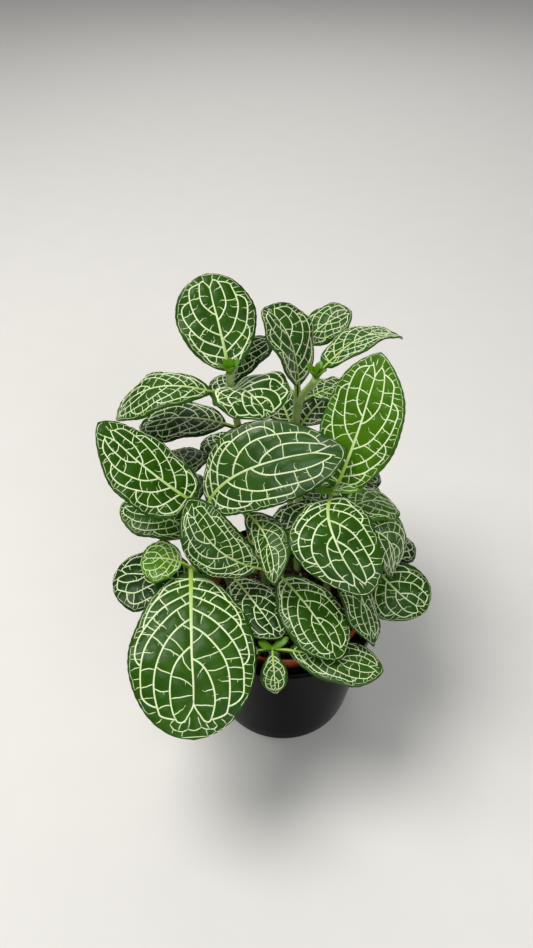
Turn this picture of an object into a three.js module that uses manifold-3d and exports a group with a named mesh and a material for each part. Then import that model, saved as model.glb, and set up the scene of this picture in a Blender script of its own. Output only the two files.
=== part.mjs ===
// A potted nerve plant: leafy shoots in soil, in a thin nursery pot that stands inside a glazed cachepot.
// Millimetres, +Z up. The origin is the middle of the cachepot's foot, and -Y is the plant's front.
import * as THREE from "three";
import { mergeVertices } from "three/addons/utils/BufferGeometryUtils.js";
import Module from "manifold-3d";

const wasm = await Module();
wasm.setup();

// ---------- Driving dimensions ----------
const FIT_GAP = 0.3; // between pieces that touch on the real object
const ROUND_SIDES = 48; // sides of the pots and the soil

const CACHEPOT = {
  height: 88,
  footRadius: 40,
  rimRadius: 53,
  wall: 4.5,
  floor: 5,
  edge: 1.6, // rounding of the foot and of the rim
};

const NURSERY_POT = {
  top: 90,
  rimRadius: 45,
  wall: 1.4,
  collarHeight: 13, // the wider band under the rim
  collarStep: 2, // how far the collar stands out of the body
  footRadius: 32,
  drainHoles: 6,
  drainRadius: 3.5,
  drainCircle: 22,
};

const SOIL = { top: 76, crown: 2, lumps: 0.8, rings: 5 };

const STEM = { rootRadius: 2.1, tipRadius: 1.7, knot: 1.25, sides: 7, steps: 3 };

const LEAF = {
  thickness: 0.8,
  stalkWidth: 2,
  stalkThickness: 1.6,
  wideFrom: 36, // leaves at least this wide get six spans across, the others four
};

// What a leaf has unless its row says otherwise. arch and sway bow the midrib up and to its left, in mm.
// roll turns the blade about its chord, in degrees, and lifts the left half. fold lifts both halves from
// the midrib, curl bends the margins back down, and wave ripples them. stalk is the bare share of the
// midrib, bow the place of the bend, widest the place of the greatest width, and point sharpens the tip.
// seat is how far from the stem's axis the stalk starts, in mm.
const USUAL = {
  arch: 4,
  sway: 0,
  roll: 0,
  fold: 0.12,
  curl: 0.25,
  wave: 0.03,
  stalk: 0.14,
  bow: 0.5,
  widest: 0.56,
  point: 0.3,
  seat: 2.6,
};

// Each shoot: the points its stem runs through from the soil up, and its leaves from the top down. A leaf
// grows from the stem's point number "at", and heads that way in degrees from +X towards +Y, rising by
// "rise" degrees. Its length runs from the stem to the tip. young lists the small leaves at the stem's tip.
const SHOOTS = {
  back_left: {
    stem: [[-14, 22, 62], [-22, 46, 118], [-25, 59, 155], [-28, 56, 178], [-28, 51, 189], [-28, 48, 200]],
    leaves: [
      {
        at: 5, heading: 109, rise: 44, length: 51, width: 40, arch: 3, roll: -4,
        fold: 0.05, curl: 0.12, stalk: 0.03, point: 0.2,
      },
      {
        at: 4, heading: -44, rise: -10, length: 27, width: 49, arch: 5, sway: 0, roll: -9,
        fold: 0.35, stalk: 0.02, widest: 0.51,
      },
      {
        at: 3, heading: 180, rise: -12, length: 63, width: 32, arch: 16,
        roll: -4, curl: 0.3, stalk: 0.12, bow: 0.6, point: 0.55,
      },
      { at: 3, heading: 38, rise: 44, length: 38, width: 21, sway: 6, stalk: 0.2 },
      {
        at: 2, heading: 172, rise: -5, length: 56, width: 34, arch: 7, fold: 0.1,
        curl: 0.2, stalk: 0.12, point: 0.5,
      },
      { at: 2, heading: 100, rise: 8, length: 43, width: 26, arch: 6 },
      { at: 1, heading: 112, rise: 6, length: 50, width: 30, arch: 8 },
      { at: 1, heading: 66, rise: -14, length: 48, width: 30, arch: 8 },
    ],
    young: [
      { heading: 20, rise: 52, length: 9, width: 5 },
      { heading: 110, rise: 52, length: 9, width: 5 },
      { heading: 200, rise: 52, length: 9, width: 5 },
      { heading: 290, rise: 52, length: 9, width: 5 },
      { heading: 65, rise: 82, length: 9, width: 5 },
    ],
  },
  back_right: {
    stem: [[8, 18, 62], [8, 44, 120], [7, 60, 170], [15, 51, 195]],
    leaves: [
      {
        at: 3, heading: 28, rise: 8, length: 52, width: 26, arch: 12, sway: -3, roll: -13,
        fold: 0.2, curl: 0.14, stalk: 0.1, bow: 0.57, widest: 0.4, point: 0.8,
      },
      {
        at: 2, heading: 132, rise: 61, length: 55, width: 38, sway: -6, roll: 16, fold: 0.36,
        curl: 0.2, stalk: 0.15, bow: 0.64, point: 0.1,
      },
      { at: 2, heading: 22, rise: 12, length: 30, width: 22, arch: 3, stalk: 0.3 },
      { at: 1, heading: 27, rise: 9, length: 50, width: 34, arch: 8 },
    ],
    young: [
      { heading: -30, rise: 52, length: 9, width: 5 },
      { heading: 60, rise: 52, length: 9, width: 5 },
      { heading: 150, rise: 52, length: 9, width: 5 },
      { heading: 240, rise: 52, length: 9, width: 5 },
      { heading: 15, rise: 82, length: 9, width: 5 },
    ],
  },
  back_middle: {
    stem: [[2, 36, 62], [3, 39, 95], [6, 70, 140], [8, 92, 184]],
    leaves: [
      {
        at: 3, heading: 13, rise: 35, length: 35, width: 27, arch: 3, sway: 1, roll: 9,
        fold: 0.25, stalk: 0.12,
      },
      { at: 3, heading: 100, rise: -30, length: 40, width: 34, arch: 8 },
      { at: 2, heading: 47, rise: 7, length: 47, width: 35, arch: 9 },
      { at: 2, heading: 108, rise: -5, length: 50, width: 34, arch: 9 },
    ],
    young: [{ heading: 190, rise: 50, length: 8, width: 5 }],
  },
  right: {
    stem: [[20, -4, 62], [26, 8, 118], [26, 10, 132], [24, 12, 152], [23, 8, 158]],
    leaves: [
      {
        at: 3, heading: 58, rise: 57, length: 74, width: 41, sway: -3,
        fold: 0.08, curl: 0.15, stalk: 0.05, widest: 0.5, point: 0.5,
      },
      {
        at: 3, heading: -75, rise: -18, length: 55, width: 43, arch: 14, sway: -11, fold: 0.05,
        curl: 0.15, stalk: 0.07, bow: 0.42, widest: 0.53,
      },
      { at: 2, heading: 17, rise: 0, length: 35, width: 30, arch: 9, sway: 2, roll: -6 },
      {
        at: 2, heading: -21, rise: -37, length: 41, width: 27, arch: 13, sway: 6, roll: 17,
        fold: 0.35, bow: 0.55,
      },
      {
        at: 1, heading: -69, rise: -25, length: 56, width: 32, arch: 5, sway: -2, roll: -40,
        fold: 0.08, point: 0.9,
      },
      { at: 1, heading: 70, rise: 0, length: 54, width: 34, arch: 9 },
    ],
    young: [
      { heading: 12, rise: 4, length: 16, width: 9 },
      { heading: 190, rise: 12, length: 9, width: 6 },
    ],
  },
  left: {
    stem: [[-22, 0, 62], [-33, 7, 100], [-40, 10, 120], [-40, 9, 143]],
    leaves: [
      {
        at: 3, heading: 6, rise: 27, length: 78, width: 43, arch: 13, sway: 11, roll: 50,
        fold: 0.2, stalk: 0.07, bow: 0.3, point: 0.6, widest: 0.57,
      },
      {
        at: 3, heading: 157, rise: 34, length: 70, width: 41, arch: 3, sway: 5, roll: -4,
        fold: 0, curl: 0.15, stalk: 0.12, widest: 0.4, point: 0.4,
      },
      { at: 2, heading: 155, rise: 4, length: 54, width: 31, arch: 3 },
      { at: 1, heading: -58, rise: 4, length: 57, width: 31, arch: 3, stalk: 0.2 },
    ],
    young: [],
  },
  centre: {
    stem: [[-8, 8, 62], [-14, 14, 110], [-20, 8, 143]],
    leaves: [
      {
        at: 2, heading: -72, rise: -5, length: 46, width: 20, arch: 0, sway: 5, roll: 34,
        fold: -0.18, stalk: 0.03, widest: 0.48, point: 0.6,
      },
      { at: 1, heading: 20, rise: 14, length: 44, width: 36, arch: 4, stalk: 0.1 },
    ],
    young: [{ heading: 60, rise: 40, length: 7, width: 4 }],
  },
  front_middle: {
    stem: [[12, -6, 62], [10, -8, 92], [-7, -9, 119]],
    leaves: [
      {
        at: 2, heading: 163, rise: 41, length: 58, width: 29, sway: 9, roll: -51, fold: 0.32,
        stalk: 0.1, widest: 0.55, point: 0.4, arch: 4,
      },
      { at: 2, heading: -52, rise: -17, length: 57, width: 33, arch: 6, stalk: 0.12, point: 0.5 },
    ],
    young: [{ heading: 250, rise: 50, length: 7, width: 4 }],
  },
  front_left: {
    stem: [[-30, -8, 62], [-42, -4, 96], [-49, -5, 115]],
    leaves: [
      {
        at: 2, heading: -86, rise: -18, length: 86, width: 62, arch: 10,
        fold: 0.04, curl: 0.15, stalk: 0.04, point: 0.05,
      },
      { at: 2, heading: 178, rise: 11, length: 26, width: 29, stalk: 0.2, point: 0.1 },
      { at: 1, heading: 169, rise: -1, length: 52, width: 44, arch: 5 },
    ],
    young: [],
  },
  front_low: {
    stem: [[-4, -34, 62], [-6, -41, 90], [-7, -44, 99]],
    leaves: [
      { at: 2, heading: -84, rise: -44, length: 22, width: 14, arch: 2, stalk: 0.1, point: 0.7 },
      { at: 2, heading: -9, rise: -6, length: 56, width: 27, arch: 3, stalk: 0.15, point: 0.4 },
      { at: 2, heading: 189, rise: -12, length: 39, width: 20, arch: 3 },
    ],
    young: [
      { heading: 25, rise: 25, length: 10, width: 5 },
      { heading: 165, rise: 25, length: 8, width: 5 },
    ],
  },
  right_low: {
    stem: [[30, 8, 62], [38, 12, 91], [46, 13, 103]],
    leaves: [
      {
        at: 2, heading: -44, rise: -18, length: 42, width: 34, arch: 9, sway: -4, roll: 25,
        fold: 0.05,
      },
      { at: 1, heading: 35, rise: 0, length: 42, width: 34, arch: 8 },
    ],
    young: [{ heading: 130, rise: 50, length: 8, width: 5 }],
  },
  far_left: {
    stem: [[-28, 20, 62], [-31, 24, 92], [-48, 36, 112], [-52, 44, 128]],
    leaves: [
      { at: 3, heading: 108, rise: 0, length: 30, width: 30 },
      { at: 2, heading: 160, rise: -5, length: 46, width: 34, arch: 5 },
      { at: 2, heading: 115, rise: -12, length: 52, width: 30, arch: 4 },
    ],
    young: [],
  },
  back_low: {
    stem: [[22, 26, 62], [26, 33, 92], [30, 42, 104]],
    leaves: [
      { at: 2, heading: 62, rise: 6, length: 44, width: 30, arch: 7, stalk: 0.2 },
      { at: 2, heading: 112, rise: -12, length: 48, width: 30, arch: 5, stalk: 0.2 },
    ],
    young: [{ heading: 10, rise: 60, length: 8, width: 5 }],
  },
};

// ---------- Materials ----------
const paint = (color, roughness) => new THREE.MeshStandardMaterial({ color, roughness, metalness: 0 });
const GLAZE = () => paint(0x1d1c22, 0.18);
const TERRACOTTA_PLASTIC = () => paint(0xc2522f, 0.55);
const EARTH = () => paint(0x2c2119, 0.95);
const STEM_GREEN = () => paint(0x8fb04e, 0.6);
const LEAF_GREEN = () => paint(0x2f6a22, 0.45);

// ---------- Solids ----------
// A closed geometry as a solid, with the vertices that its faces share merged.
function solidFrom(geometry) {
  const bare = geometry.clone();
  bare.deleteAttribute("normal");
  bare.deleteAttribute("uv");
  const merged = mergeVertices(bare, 1e-4);
  return new wasm.Manifold(
    new wasm.Mesh({
      numProp: 3,
      vertProperties: new Float32Array(merged.attributes.position.array),
      triVerts: new Uint32Array(merged.index.array),
    }),
  );
}

function meshFrom(name, solid, material) {
  const { vertProperties, triVerts, numProp, numVert } = solid.getMesh();
  const positions = new Float32Array(numVert * 3);
  for (let i = 0; i < numVert; i++) {
    positions.set(vertProperties.subarray(i * numProp, i * numProp + 3), i * 3);
  }
  const geometry = new THREE.BufferGeometry();
  geometry.setAttribute("position", new THREE.BufferAttribute(positions, 3));
  geometry.setIndex(new THREE.BufferAttribute(triVerts, 1));
  geometry.computeVertexNormals();
  const mesh = new THREE.Mesh(geometry, material);
  mesh.name = name;
  return mesh;
}

const largestBody = (solid) =>
  solid.decompose().reduce((best, body) => (body.volume() > best.volume() ? body : best));

// A solid of revolution about Z from [radius, height] points that run outwards and up from the axis.
function turned(profile) {
  const points = profile.map(([radius, height]) => new THREE.Vector2(radius, height));
  const geometry = new THREE.LatheGeometry(points, ROUND_SIDES);
  geometry.rotateX(Math.PI / 2);
  return solidFrom(geometry);
}

// A skin over rows of points that are joined into rings, closed by a fan or a flat row at both ends.
function skin(rings, closeEnd) {
  const size = rings[0].length;
  const corners = rings.flat();
  const faces = [];
  for (let r = 0; r + 1 < rings.length; r++) {
    for (let k = 0; k < size; k++) {
      const a = r * size + k;
      const b = r * size + ((k + 1) % size);
      faces.push(a, b, a + size, b, b + size, a + size);
    }
  }
  faces.push(...closeEnd(0, false), ...closeEnd((rings.length - 1) * size, true));
  const geometry = new THREE.BufferGeometry();
  geometry.setAttribute("position", new THREE.Float32BufferAttribute(corners.flatMap((p) => p.toArray()), 3));
  geometry.setIndex(faces);
  return geometry;
}

// ---------- Pots and soil ----------
function cachepotSolid() {
  const { height, footRadius, rimRadius, wall, floor, edge } = CACHEPOT;
  const slope = (rimRadius - footRadius) / height;
  const outside = (z) => footRadius + slope * z;
  const round = edge * (1 - Math.SQRT1_2);
  return turned([
    [0, 0],
    [footRadius - edge, 0],
    [outside(0) - round, round],
    [outside(edge), edge],
    [outside(height - edge), height - edge],
    [rimRadius - round, height - round],
    [rimRadius - edge, height],
    [rimRadius - wall + edge, height],
    [rimRadius - wall + round, height - round],
    [outside(height - edge) - wall, height - edge],
    [outside(floor + edge) - wall, floor + edge],
    [outside(floor) - wall - edge, floor],
    [0, floor],
  ]);
}

const potFloor = CACHEPOT.floor + FIT_GAP;
const collarFoot = NURSERY_POT.top - NURSERY_POT.collarHeight;
const collarTaper = 1.2; // the collar narrows a little downwards
const bodyTopRadius = NURSERY_POT.rimRadius - collarTaper - NURSERY_POT.collarStep;

// The nursery pot's inside radius under its collar, at a height.
function insideRadius(z) {
  const { footRadius, wall } = NURSERY_POT;
  const share = (z - potFloor) / (collarFoot - potFloor);
  return footRadius - wall + share * (bodyTopRadius - footRadius);
}

function nurseryPotSolid() {
  const { top, rimRadius, wall, footRadius, collarStep, drainHoles, drainRadius, drainCircle } = NURSERY_POT;
  let pot = turned([
    [0, potFloor],
    [footRadius, potFloor],
    [bodyTopRadius, collarFoot],
    [bodyTopRadius + collarStep, collarFoot + 1],
    [rimRadius, top - 1],
    [rimRadius - wall / 2, top],
    [rimRadius - wall, top - 1],
    [bodyTopRadius + collarStep - wall, collarFoot + 1 + wall],
    [insideRadius(collarFoot + wall), collarFoot + wall],
    [insideRadius(potFloor + wall), potFloor + wall],
    [0, potFloor + wall],
  ]);
  for (let i = 0; i < drainHoles; i++) {
    const angle = (2 * Math.PI * i) / drainHoles;
    const hole = new THREE.CylinderGeometry(drainRadius, drainRadius, 4 * wall, 12);
    hole.rotateX(Math.PI / 2);
    hole.translate(drainCircle * Math.cos(angle), drainCircle * Math.sin(angle), potFloor);
    pot = pot.subtract(solidFrom(hole));
  }
  return pot;
}

// Soil with a gently heaped, lumpy top.
function soilSolid() {
  const { top, crown, lumps, rings } = SOIL;
  const bottom = potFloor + NURSERY_POT.wall + FIT_GAP;
  const rows = [[], []];
  for (let k = 0; k < ROUND_SIDES; k++) {
    const angle = (2 * Math.PI * k) / ROUND_SIDES;
    const at = (radius, z) => new THREE.Vector3(radius * Math.cos(angle), radius * Math.sin(angle), z);
    rows[0].push(at(insideRadius(bottom) - FIT_GAP, bottom));
    rows[1].push(at(insideRadius(top - 2) - FIT_GAP, top - 2));
    for (let ring = 1; ring <= rings; ring++) {
      const share = 1 - ring / (rings + 1);
      const lump = (Math.sin(5 * angle + 9 * share) + Math.sin(11 * angle - 17 * share)) / 2;
      rows[ring + 1] ??= [];
      rows[ring + 1].push(at(insideRadius(top) * share, top + crown * (1 - share * share) + lumps * lump));
    }
  }
  const fan = (start, last) => {
    const faces = [];
    for (let k = 1; k + 1 < ROUND_SIDES; k++) {
      faces.push(...(last ? [start, start + k, start + k + 1] : [start, start + k + 1, start + k]));
    }
    return faces;
  };
  return solidFrom(skin(rows, fan));
}

// ---------- Stems ----------
// A stem: rings of points along a curve through its joints, a little thicker at each joint.
function stemSolid(points, clearance) {
  const curve = new THREE.CatmullRomCurve3(points.map((p) => new THREE.Vector3(...p)));
  curve.points[0].z -= clearance;
  const spans = points.length - 1;
  const count = spans * STEM.steps;
  const rings = [];
  for (let i = 0; i <= count; i++) {
    const t = i / count;
    const centre = curve.getPoint(t);
    const along = curve.getTangent(t);
    const side = new THREE.Vector3(0, 1, 0).cross(along).normalize();
    const front = along.clone().cross(side);
    const knot = i % STEM.steps === 0 && i > 0 ? STEM.knot : 1;
    const radius = THREE.MathUtils.lerp(STEM.rootRadius, STEM.tipRadius, t) * knot + clearance;
    const ring = [];
    for (let k = 0; k < STEM.sides; k++) {
      const angle = (2 * Math.PI * k) / STEM.sides;
      const offset = side.clone().multiplyScalar(radius * Math.cos(angle));
      ring.push(centre.clone().add(offset).addScaledVector(front, radius * Math.sin(angle)));
    }
    rings.push(ring);
  }
  const fan = (start, last) => {
    const faces = [];
    for (let k = 1; k + 1 < STEM.sides; k++) {
      faces.push(...(last ? [start, start + k, start + k + 1] : [start, start + k + 1, start + k]));
    }
    return faces;
  };
  return solidFrom(skin(rings, fan));
}

// ---------- Leaves ----------
// The middle surface of a leaf. place(u, v) gives a point of the blade: u runs from its base to its tip,
// and v from -1 at the right margin to 1 at the left. Below u = 0 it follows the stalk.
function leafSurface(joint, row) {
  const leaf = { ...USUAL, ...row };
  const heading = THREE.MathUtils.degToRad(leaf.heading);
  const rise = THREE.MathUtils.degToRad(leaf.rise);
  const roll = THREE.MathUtils.degToRad(leaf.roll);
  const base = new THREE.Vector3(...joint);
  const chord = new THREE.Vector3(
    Math.cos(rise) * Math.cos(heading),
    Math.cos(rise) * Math.sin(heading),
    Math.sin(rise),
  );
  const level = new THREE.Vector3(-Math.sin(heading), Math.cos(heading), 0);
  const across = level.clone().applyAxisAngle(chord, roll);
  const above = chord.clone().cross(across);
  const tip = base.clone().addScaledVector(chord, leaf.length);
  const bend = base.clone().addScaledVector(chord, leaf.length * leaf.bow);
  bend.addScaledVector(above, 2 * leaf.arch).addScaledVector(across, 2 * leaf.sway);
  const midrib = new THREE.QuadraticBezierCurve3(base, bend, tip);
  const halfWidth = leaf.width / 2;
  const crowding = Math.log(0.5) / Math.log(leaf.widest);

  // The blade's half width at u, as a share of its greatest half width.
  const outline = (u) => {
    const s = Math.pow(Math.max(u, 0), crowding);
    return Math.pow(Math.max(4 * s * (1 - s), 0), 0.5 + 0.5 * leaf.point * u * u);
  };

  const place = (u, v) => {
    const t = Math.max(leaf.stalk + (1 - leaf.stalk) * u, 0);
    const along = midrib.getTangent(t);
    const up = along.clone().cross(across).normalize();
    const open = outline(u);
    const least = u < 0.5 ? LEAF.stalkWidth / 2 : LEAF.stalkWidth / 4;
    const reach = Math.max(halfWidth * open, least);
    const ripple = Math.sin(2 * Math.PI * 2.3 * u + (v > 0 ? 2.1 : 0)) * v * v * open;
    const lift = halfWidth * open * (leaf.fold * Math.abs(v) - leaf.curl * v * v * open);
    return midrib
      .getPoint(t)
      .addScaledVector(across, v * reach)
      .addScaledVector(up, lift + leaf.wave * leaf.width * ripple);
  };
  // The blade is measured from the end of the stalk, so the stalk starts a little below 0.
  const seat = leaf.seat / (2 * bend.distanceTo(base));
  return { place, start: (seat - leaf.stalk) / (1 - leaf.stalk) };
}

// A leaf's solid: the same grid of triangles above and below the middle surface, joined round the edge.
function leafSolid(joint, row, stations, spans, clearance = 0) {
  const { place, start } = leafSurface(joint, row);
  const rows = [start, ...stations.filter((u) => u > start + 0.01)];
  const step = 0.01;
  const rings = rows.map((u) => {
    const upper = [];
    const lower = [];
    const thickness = (u < 0 ? LEAF.stalkThickness : LEAF.thickness) + 2 * clearance;
    for (let k = 0; k <= spans; k++) {
      const v = 1 - (2 * k) / spans;
      const ahead = place(u + step, v).sub(place(Math.max(u - step, start), v));
      const beside = place(u, Math.min(v + step, 1)).sub(place(u, Math.max(v - step, -1)));
      const normal = ahead.cross(beside).normalize().multiplyScalar(thickness / 2);
      upper.push(place(u, v).add(normal));
      lower.push(place(u, v).sub(normal));
    }
    return [...upper, ...lower.reverse()];
  });
  const size = 2 * (spans + 1);
  const flat = (first, last) => {
    const faces = [];
    for (let k = 0; k < spans; k++) {
      const [a, b] = [first + k, first + k + 1];
      const [c, d] = [first + size - 1 - k, first + size - 2 - k];
      faces.push(...(last ? [a, b, c, b, d, c] : [a, c, b, b, c, d]));
    }
    return faces;
  };
  return solidFrom(skin(rings, flat));
}

const GROWN_STATIONS = [0.02, 0.12, 0.28, 0.46, 0.64, 0.8, 0.92, 1];
const YOUNG_STATIONS = [0.1, 0.5, 1];

// ---------- Assembly ----------
const plant = new THREE.Group();
plant.add(meshFrom("cachepot", cachepotSolid(), GLAZE()));
plant.add(meshFrom("nursery_pot", nurseryPotSolid(), TERRACOTTA_PLASTIC()));

// The stem of a shoot with its young leaves, or the room they need with a clearance round them.
function shootStem({ stem, young }, clearance) {
  const rooted = ({ length, width, ...row }) => ({
    ...row,
    length: length + clearance,
    width: width + 2 * clearance,
    arch: 1,
    stalk: 0.05,
    seat: 0,
  });
  return young.reduce(
    (solid, row) => solid.add(leafSolid(stem.at(-1), rooted(row), YOUNG_STATIONS, 2, clearance)),
    stemSolid(stem, clearance),
  );
}

let soil = soilSolid();
for (const [name, shoot] of Object.entries(SHOOTS)) {
  const room = shootStem(shoot, FIT_GAP + 0.1);
  soil = soil.subtract(room);
  plant.add(meshFrom(`stem_${name}`, shootStem(shoot, 0), STEM_GREEN()));
  shoot.leaves.forEach((row, i) => {
    const spans = row.width < LEAF.wideFrom ? 4 : 6;
    const blade = leafSolid(shoot.stem[row.at], row, GROWN_STATIONS, spans);
    plant.add(meshFrom(`leaf_${name}_${i + 1}`, largestBody(blade.subtract(room)), LEAF_GREEN()));
  });
}
plant.add(meshFrom("soil", soil, EARTH()));

export default plant;
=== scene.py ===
"""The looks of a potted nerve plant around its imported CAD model.

Lengths in the tables are millimetres, as in the part's source, and meshes are made in metres. Each leaf and
stem follows the same curves as the solid that it replaces, with a finer blade, a net of veins and hairs.
"""

import math

import bpy
import numpy as np
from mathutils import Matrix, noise


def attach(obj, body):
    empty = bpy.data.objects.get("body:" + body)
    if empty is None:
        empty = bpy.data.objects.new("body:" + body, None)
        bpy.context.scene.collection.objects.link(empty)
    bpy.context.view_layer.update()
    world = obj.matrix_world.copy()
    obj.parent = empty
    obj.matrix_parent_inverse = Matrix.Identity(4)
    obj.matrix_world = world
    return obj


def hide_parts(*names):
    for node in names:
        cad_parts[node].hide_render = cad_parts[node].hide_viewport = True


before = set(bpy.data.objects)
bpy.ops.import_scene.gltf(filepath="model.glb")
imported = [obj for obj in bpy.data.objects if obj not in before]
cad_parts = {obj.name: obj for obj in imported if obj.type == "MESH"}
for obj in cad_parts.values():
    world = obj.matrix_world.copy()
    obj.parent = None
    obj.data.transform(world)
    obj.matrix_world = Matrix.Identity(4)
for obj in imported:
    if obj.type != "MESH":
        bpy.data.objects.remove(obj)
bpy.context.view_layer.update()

MM = 0.001
ROOT = "root"

# ---------- Sizes, in mm ----------
CACHEPOT = dict(height=88, foot=40, rim=53, wall=4.5, floor=5, edge=1.6)
NURSERY = dict(top=90, rim=45, wall=1.4, collar=13, step=2, foot=32, holes=6, hole_radius=3.5, hole_circle=22)
SOIL = dict(top=76, crown=2, sides=120, rings=46, crumbs=620)
STEM = dict(root_radius=2.1, tip_radius=1.7, knot=1.25, steps=10, sides=14)  # steps to the next joint
HAIRS = dict(radius=0.055, per_mm=7, shortest=0.7, longest=1.5, sag=0.12, above_soil=4)
POT_SIDES = 144
BLADE = 0.7
STALK_WIDTH = 2.0
STALK_THICKNESS = 1.6
QUILT = 0.62  # how far the blade swells between its veins
SCALLOP, SCALLOP_STEP = 0.12, 4.2  # the margin's small waves

FULL_WIDTH = 44  # the width of a leaf whose veins have the widths and spacings given below
WIDE = 14  # a narrower leaf has only its main veins
VEIN_HEIGHTS = (0.32, 0.2, 0.16, 0.13)  # by rank: midrib, side veins, rungs, finest
MIDRIB_WIDTHS = (1.9, 2.5, 2.6, 1.8, 1.2, 0.8, 0.5)  # from the stalk to the tip
ARC_COUNTS = ((48, 6), (24, 5), (14, 4), (0, 3))  # leaves at least so wide have so many side veins a side
# Where the side veins leave the midrib and where they end, from the base's to the tip's, as shares of the
# blade's length.
ARC_STARTS = (0.045, 0.095, 0.155, 0.235, 0.355, 0.53)
ARC_ENDS = (0.14, 0.3, 0.53, 0.76, 0.86, 0.9)
ARC_RIM = 3.6  # from the side veins' ends to the margin
RUNG = 6.6  # between the rungs that join two side veins
CELL = 3.4  # the size of the small cells along the margin
RIM = 1.5  # from the small cells to the margin
LEAST_REACH = 1.2  # no side of a cell is shorter, and no rung starts so near to its side vein's end
NET_TIP = 0.985  # how far along the blade the finest veins reach

# What a leaf has where its row says nothing else. tone runs from 0, the darkest green, to 1, a young lime
# leaf, and gloss is how strongly the blade mirrors the light.
USUAL = dict(
    arch=4, sway=0, roll=0, fold=0.12, curl=0.25, wave=0.03, stalk=0.14, bow=0.5, widest=0.56, point=0.3,
    seat=0.6, tone=0.1, gloss=0.17,
)
YOUNG = {**USUAL, **dict(arch=1, stalk=0.05, seat=0.2, tone=0.7, gloss=0.3)}


def leaf_at(joint, heading, rise, length, width, **changes):
    """A leaf on the stem's joint of that number, with what differs from USUAL."""
    return joint, (heading, rise, length, width, {**USUAL, **changes})


def rosette(turn):
    """The four opening leaves round a bud at a stem's tip, and the bud."""
    return [(turn + 90 * quarter, 52, 9, 5) for quarter in range(4)] + [(turn + 45, 82, 9, 5)]


def shoot(joints, *leaves, young=()):
    """A stem's joints from root to tip, its leaves, and the opening ones' (heading, rise, length, width)."""
    return dict(joints=joints, leaves=leaves, young=young)


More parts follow.
